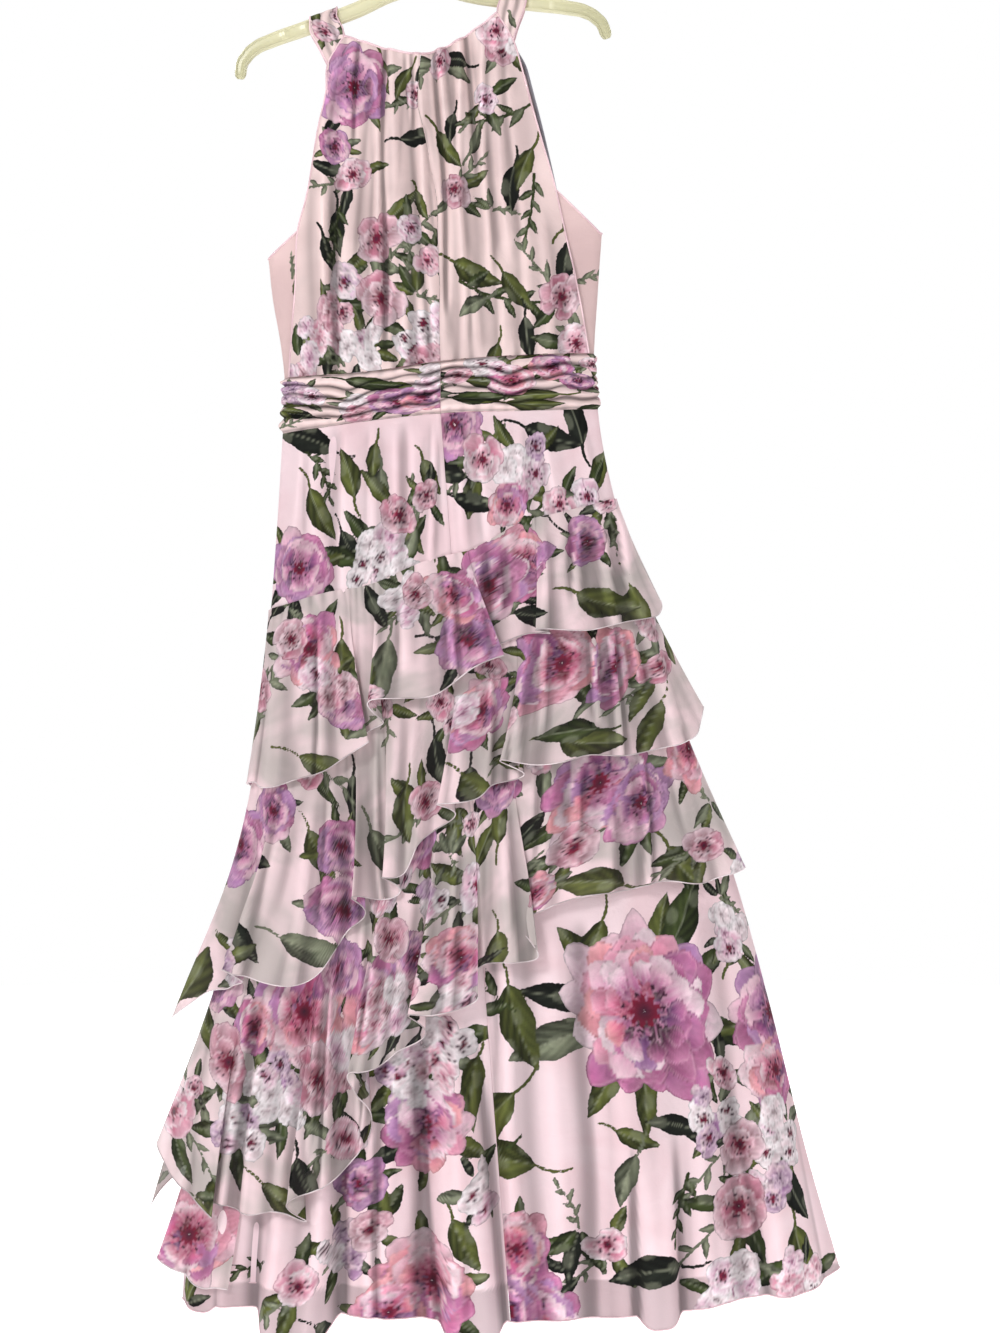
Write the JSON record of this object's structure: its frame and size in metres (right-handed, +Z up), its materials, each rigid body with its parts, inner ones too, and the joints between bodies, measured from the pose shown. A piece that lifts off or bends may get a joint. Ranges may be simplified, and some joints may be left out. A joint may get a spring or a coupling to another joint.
{
  "type": "maxi dress on hanger",
  "caption": "Sleeveless floral chiffon maxi dress with a halter neckline, a ruched waistband and diagonal flounces over an A-line skirt, hung on a moulded plastic hanger.",
  "frame": {"origin": "inner top of the hanger's hook, where the hanger rests on a rail", "axes": "+Z up, +X to the viewer's right when the zipped back of the dress is seen, -Y out of the back of the dress, +Y out of its front"},
  "size_m": [0.7758, 0.222, 1.6345],
  "materials": {
    "printed_chiffon": "fine matte chiffon, printed with flowers and leaves",
    "lining_cloth": "plain matte lining cloth",
    "hanger_plastic": "glossy pale yellow translucent plastic",
    "hook_steel": "dark bent wire"
  },
  "bodies": {
    "root": {"bodice_back_left": "printed_chiffon", "bodice_back_right": "printed_chiffon", "bodice_front": "printed_chiffon", "flounce_1_back": "printed_chiffon", "flounce_1_front": "printed_chiffon", "flounce_2_back": "printed_chiffon", "flounce_2_front": "printed_chiffon", "flounce_3_back": "printed_chiffon", "flounce_3_front": "printed_chiffon", "flounce_4": "printed_chiffon", "hanger": "hanger_plastic", "lining_back": "lining_cloth", "lining_front": "lining_cloth", "neck_hook": "hook_steel", "side_panel_left": "printed_chiffon", "side_panel_right": "printed_chiffon", "skirt_back_left": "printed_chiffon", "skirt_back_right": "printed_chiffon", "skirt_front": "printed_chiffon", "strap_left": "printed_chiffon", "strap_right": "printed_chiffon", "waistband_back_left": "printed_chiffon", "waistband_back_right": "printed_chiffon", "waistband_front": "printed_chiffon"}
  },
  "joints": []
}
